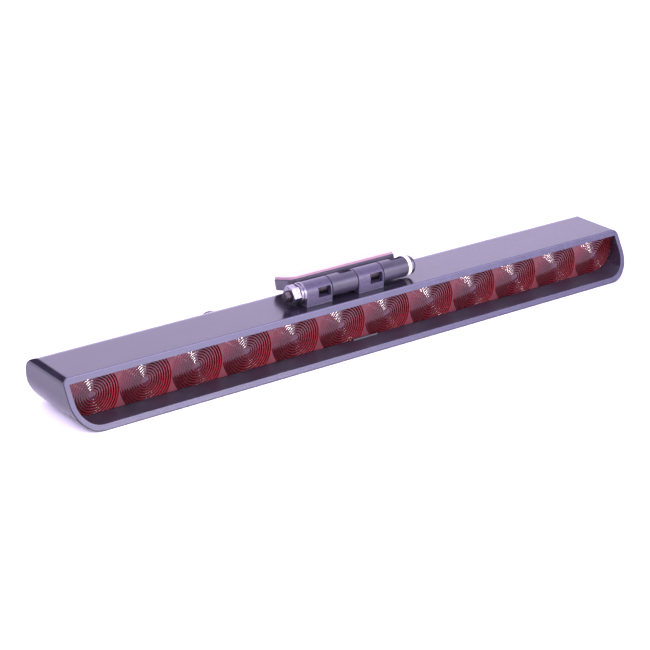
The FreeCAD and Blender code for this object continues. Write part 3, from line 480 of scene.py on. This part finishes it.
def make_lens(material):
    """The lens as a plate with rings cut into its front, one set for each cell."""
    low, high = LENS_LOW, LENS_HIGH
    corner = 10 * MM

    def inside(x, z):
        if not (low.x <= x <= high.x and low.z <= z <= high.z):
            return False
        if z < low.z + corner and abs(x) > high.x - corner:
            return math.hypot(abs(x) - (high.x - corner), z - low.z - corner) <= corner
        return True

    profile = cell_profile()
    bm = bmesh.new()
    for index in range(CELLS):
        centre_x = (index - (CELLS - 1) / 2) * CELL_PITCH
        left = low.x if index == 0 else centre_x - CELL_PITCH / 2
        right = high.x if index == CELLS - 1 else centre_x + CELL_PITCH / 2
        angles = [FULL_TURN * i / SPOKES for i in range(SPOKES)]
        # spokes that would fall near a corner of the cell go exactly to it
        for x, z in ((left, low.z), (right, low.z), (left, high.z), (right, high.z)):
            if inside(x, z):
                exact = math.atan2(z - CELL_HEIGHT, x - centre_x) % FULL_TURN
                nearest = min(range(SPOKES), key=lambda i: abs(angles[i] - exact))
                angles[nearest] = exact

        def reach(angle):
            """How far a spoke runs before it leaves the cell, found by halving."""
            step_x, step_z = math.cos(angle), math.sin(angle)
            near, far = 0.0, BEYOND_CELL
            for _ in range(40):
                middle = (near + far) / 2
                x, z = centre_x + middle * step_x, CELL_HEIGHT + middle * step_z
                if left <= x <= right and inside(x, z):
                    near = middle
                else:
                    far = middle
            return near

        limits = [reach(angle) for angle in angles]
        radii = [radius for radius, _ in profile[1:]] + [BEYOND_CELL]
        heart = bm.verts.new((centre_x, low.y, CELL_HEIGHT))
        previous = None
        for angle, limit in zip(angles + angles[:1], limits + limits[:1]):
            line = [heart]
            for radius in radii:
                clamped = min(radius, limit)
                depth = depth_at(profile, clamped)
                line.append(bm.verts.new((centre_x + clamped * math.cos(angle), low.y + depth,
                                          CELL_HEIGHT + clamped * math.sin(angle))))
            if previous:
                bm.faces.new((heart, previous[1], line[1]))
                for i in range(1, len(line) - 1):
                    bm.faces.new((previous[i], previous[i + 1], line[i + 1], line[i]))
            previous = line
    bmesh.ops.remove_doubles(bm, verts=bm.verts[:], dist=0.004 * MM)
    bmesh.ops.dissolve_degenerate(bm, edges=bm.edges[:], dist=0.002 * MM)
    rim = [edge for edge in bm.edges if len(edge.link_faces) == 1]
    walls = bmesh.ops.extrude_edge_only(bm, edges=rim)["geom"]
    for vert in (item for item in walls if isinstance(item, bmesh.types.BMVert)):
        vert.co.y = high.y
    back = [edge for edge in bm.edges
            if len(edge.link_faces) == 1 and all(v.co.y > high.y - 1e-7 for v in edge.verts)]
    bmesh.ops.holes_fill(bm, edges=back, sides=0)
    lens = object_from(bm, "red_lens", material, LENS_SMOOTH_ANGLE)
    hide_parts("lens")
    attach(lens, "lamp")


# ---- hinge bolt -----------------------------------------------------------------------------

BOLT_LOW, BOLT_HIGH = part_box("hinge_bolt")
HEAD_SEAT = BOLT_HIGH.x - 3.0 * MM
HEAD_SMOOTH_ANGLE = 40


def on_bolt(piece):
    """Moves a piece drawn about its own Z, with z = 0 under the bolt's head, to the bolt."""
    turn = Matrix.Rotation(math.radians(90), 4, "Y")
    piece.data.transform(Matrix.Translation((HEAD_SEAT, HINGE.y, HINGE.z)) @ turn)


def make_bolt_thread(material):
    """A rolled thread: four rows of points to a turn, joined up one pitch further on."""
    pitch, crest, root = 0.8 * MM, 2.44 * MM, 2.02 * MM
    length = HEAD_SEAT - BOLT_LOW.x
    segments = 32
    radii = [root, root, crest, crest]
    places = [0.0, 0.1, 0.5, 0.62]
    rows = (int(length / pitch) + 2) * 4
    bm = bmesh.new()
    grid = []
    for row in range(-4, rows):
        line = []
        for i in range(segments):
            turns = row // 4 + i / segments + places[row % 4]
            height = -length + turns * pitch
            radius = radii[row % 4]
            taper = min(radius, root + max(0.0, height + length) * 0.9 - 0.1 * MM)
            line.append(bm.verts.new(circle_point(taper, FULL_TURN * i / segments,
                                                  min(0.0, max(-length, height)))))
        grid.append(line)
    for row in range(len(grid) - 5):
        for i in range(segments):
            wrap = i == segments - 1
            j = (i + 1) % segments
            a, b = grid[row][i], grid[row + 1][i]
            c = grid[row + 5][j] if wrap else grid[row + 1][j]
            d = grid[row + 4][j] if wrap else grid[row][j]
            bm.faces.new((a, d, c, b))
    bmesh.ops.remove_doubles(bm, verts=bm.verts[:], dist=0.002 * MM)
    loose = [v for v in bm.verts if not v.link_faces]
    bmesh.ops.delete(bm, geom=loose, context="VERTS")
    for end in (-length, 0.0):
        edges = [e for e in bm.edges if len(e.link_faces) == 1
                 and all(abs(v.co.z - end) < 1e-6 for v in e.verts)]
        bmesh.ops.holes_fill(bm, edges=edges, sides=0)
    thread = object_from(bm, "bolt_thread", material, 35)
    on_bolt(thread)
    return thread


def make_bolt_head(material):
    """A domed pan head with a crossed recess."""
    bm = bmesh.new()
    radius, height = 4.38 * MM, 2.99 * MM
    flat = radius * 0.45
    profile = [(0, 0.01 * MM), (radius - 0.25 * MM, 0.01 * MM), (radius, 0.25 * MM),
               (radius, height * 0.4)]
    for i in range(1, 9):
        angle = math.radians(90 * i / 8)
        profile.append((flat + (radius - flat) * math.cos(angle),
                        height * (0.4 + 0.6 * math.sin(angle))))
    profile.append((0, height))
    lathe(bm, profile, 72)
    head = object_from(bm, "bolt_head", material, HEAD_SMOOTH_ANGLE)

    cutter = bmesh.new()
    for half_x, half_y in ((2.3 * MM, 0.55 * MM), (0.55 * MM, 2.3 * MM)):
        for vert in bmesh.ops.create_cube(cutter, size=1)["verts"]:
            shrink = 0.55 if vert.co.z < 0 else 1.0
            vert.co.x *= 2 * half_x * shrink
            vert.co.y *= 2 * half_y * shrink
            vert.co.z = height + 0.5 * MM if vert.co.z > 0 else height - 1.8 * MM
    tool = object_from(cutter, "recess_tool", material)
    cut = head.modifiers.new("recess", "BOOLEAN")
    cut.object = tool
    cut.operation = "DIFFERENCE"
    cut.solver = "EXACT"
    cut.use_self = True
    bpy.context.view_layer.update()
    graph = bpy.context.evaluated_depsgraph_get()
    cut_mesh = bpy.data.meshes.new_from_object(head.evaluated_get(graph))
    head.modifiers.clear()
    head.data = cut_mesh
    cut_mesh.set_sharp_from_angle(angle=math.radians(HEAD_SMOOTH_ANGLE))
    bpy.data.objects.remove(tool)
    on_bolt(head)
    return head


def make_bolt(shaded_thread_steel, head_steel):
    thread = make_bolt_thread(shaded_thread_steel)
    head = make_bolt_head(head_steel)
    for piece in (thread, head):
        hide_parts("hinge_bolt")
        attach(piece, "lamp")


# ---- camera, light and floor ----------------------------------------------------------------

def towards(azimuth, elevation):
    """A unit vector in degrees: azimuth 0 is in front of the lamp, and 90 is to its right."""
    azimuth, elevation = math.radians(azimuth), math.radians(elevation)
    return Vector((math.sin(azimuth) * math.cos(elevation),
                   -math.cos(azimuth) * math.cos(elevation), math.sin(elevation)))


def make_camera():
    back = towards(-36.35, 22.14)
    data = bpy.data.cameras.new("camera")
    data.sensor_width = 36
    data.lens = 110.88
    data.clip_end = 20
    camera = bpy.data.objects.new("camera", data)
    camera.rotation_mode = "QUATERNION"
    camera.rotation_quaternion = (-back).to_track_quat("-Z", "Y")
    camera.location = Vector((-492.9, -640.2, 336.9)) * MM + Vector((0, LAMP_Y, 0))
    bpy.context.scene.collection.objects.link(camera)
    bpy.context.scene.camera = camera


def add_softbox(name, azimuth, elevation, distance, size, radiance, colour, lean=0.0):
    """A rectangular light that faces the lamp; lean tips its top to the right, in degrees."""
    away = towards(azimuth, elevation)
    data = bpy.data.lights.new(name, "AREA")
    data.shape = "RECTANGLE"
    data.size, data.size_y = size
    data.energy = radiance * math.pi * size[0] * size[1]
    data.color = colour
    light = bpy.data.objects.new(name, data)
    light.location = away * distance + Vector((0, 0, 0.01))
    light.rotation_mode = "QUATERNION"
    tip = Quaternion((0, 0, 1), -math.radians(lean))
    light.rotation_quaternion = away.to_track_quat("Z", "Y") @ tip
    bpy.context.scene.collection.objects.link(light)


def make_surroundings():
    scene = bpy.context.scene
    scene.view_settings.view_transform = "Standard"
    world = bpy.data.worlds.new("tent")
    scene.world = world
    world.use_nodes = True
    tree = world.node_tree
    background = tree.nodes["Background"]
    background.inputs["Color"].default_value = (0.78, 0.68, 1.0, 1)
    # the tent is open to a dark room on the lamp's right and behind its left end
    direction = add(tree, "ShaderNodeTexCoord").outputs["Generated"]

    def alignment(side):
        return add(tree, "ShaderNodeVectorMath", {0: direction, 1: side},
                   operation="DOT_PRODUCT").outputs["Value"]

    right = ramp_value(tree, alignment(towards(82, 8)), 0.55, 0.85, 1, 0.12)
    left = ramp_value(tree, alignment((-0.267, 0.8, 0.535)), 0.84, 0.91, 1, 0.02)
    strength = math_node(tree, "MULTIPLY", math_node(tree, "MULTIPLY", right, left), 2.9)
    tree.links.new(strength, background.inputs["Strength"])

    add_softbox("strip", 15.5, 9, 4, (0.18, 1.5), 130, (1, 0.95, 1), 16)
    add_softbox("bar", 24.5, 20.5, 4, (1.3, 0.12), 75, (1, 0.95, 1))
    add_softbox("small_window", -8, 3, 4, (0.2, 0.25), 22, (1, 0.93, 1))
    add_softbox("key", 37.5, 28.3, 4, (1.8, 0.85), 8.6, (0.57, 0.52, 1), 17)
    add_softbox("left_fill", -100, 52, 2.5, (1.6, 1.6), 4.5, (0.85, 0.76, 1))

    bm = bmesh.new()
    bmesh.ops.create_grid(bm, x_segments=8, y_segments=8, size=4)
    floor = object_from(bm, "floor", floor_paper())
    floor.data.transform(Matrix.Translation((0, 0, -0.02 * MM)))


# ---- finishes for the CAD pieces ------------------------------------------------------------

def dress():
    """Gives every CAD piece that stays its material."""
    hood = hood_plastic()
    leaf = moulded_plastic("leaf_plastic", (0.02, 0.017, 0.026), (0.045, 0.039, 0.06),
                           0.3, 0.42, 0.6)
    steel = zinc_steel("zinc_steel", (0.16, 0.15, 0.175), (0.3, 0.28, 0.315), 0.2)
    rubber = plain("black_rubber", (0.012, 0.012, 0.013), (0.03, 0.03, 0.032), 0.55, 0.75)
    finishes = {
        "housing": hood,
        "mount_plate": leaf,
        "lens_seal": rubber,
        "cable_grommet": rubber,
        "circuit_board": board_green(),
        "polarity_diode": plain("diode_epoxy", (0.012, 0.012, 0.012), (0.03, 0.03, 0.03),
                                0.3, 0.45),
        "wire_terminal": plain("terminal_nylon", (0.55, 0.55, 0.5), (0.68, 0.68, 0.62),
                               0.4, 0.55),
        "board_screws": steel,
        "hex_nut": steel,
        "flat_washer": steel,
        "spring_washer": zinc_steel("spring_steel", (0.16, 0.15, 0.17), (0.3, 0.28, 0.31), 0.25),
        "nylon_washer": plain("white_nylon", (0.78, 0.77, 0.74), (0.86, 0.85, 0.83), 0.4, 0.55),
        "adhesive_foam": foam(),
        "tape_liner": liner_film(),
    }
    led = led_red()
    resistor = banded_resistor()
    for name in frame["nodes"]:
        if name.startswith("led_"):
            finishes[name] = led
        elif name.startswith("resistor_"):
            finishes[name] = resistor
    for name, material in finishes.items():
        mesh = frame["nodes"][name].data
        if not mesh.materials:
            mesh.materials.append(material)
        for index in range(len(mesh.materials)):
            mesh.materials[index] = material


make_camera()
make_surroundings()
dress()
make_lens(lens_red())
# painted shade: the thread's zinc steel is painted much darker than the nut's and the head's
make_bolt(zinc_steel("shaded_thread_steel", (0.065, 0.052, 0.056), (0.14, 0.12, 0.125), 0.3, (40, 1, 1)),
          zinc_steel("head_steel", (0.11, 0.105, 0.115), (0.22, 0.21, 0.23), 0.24))
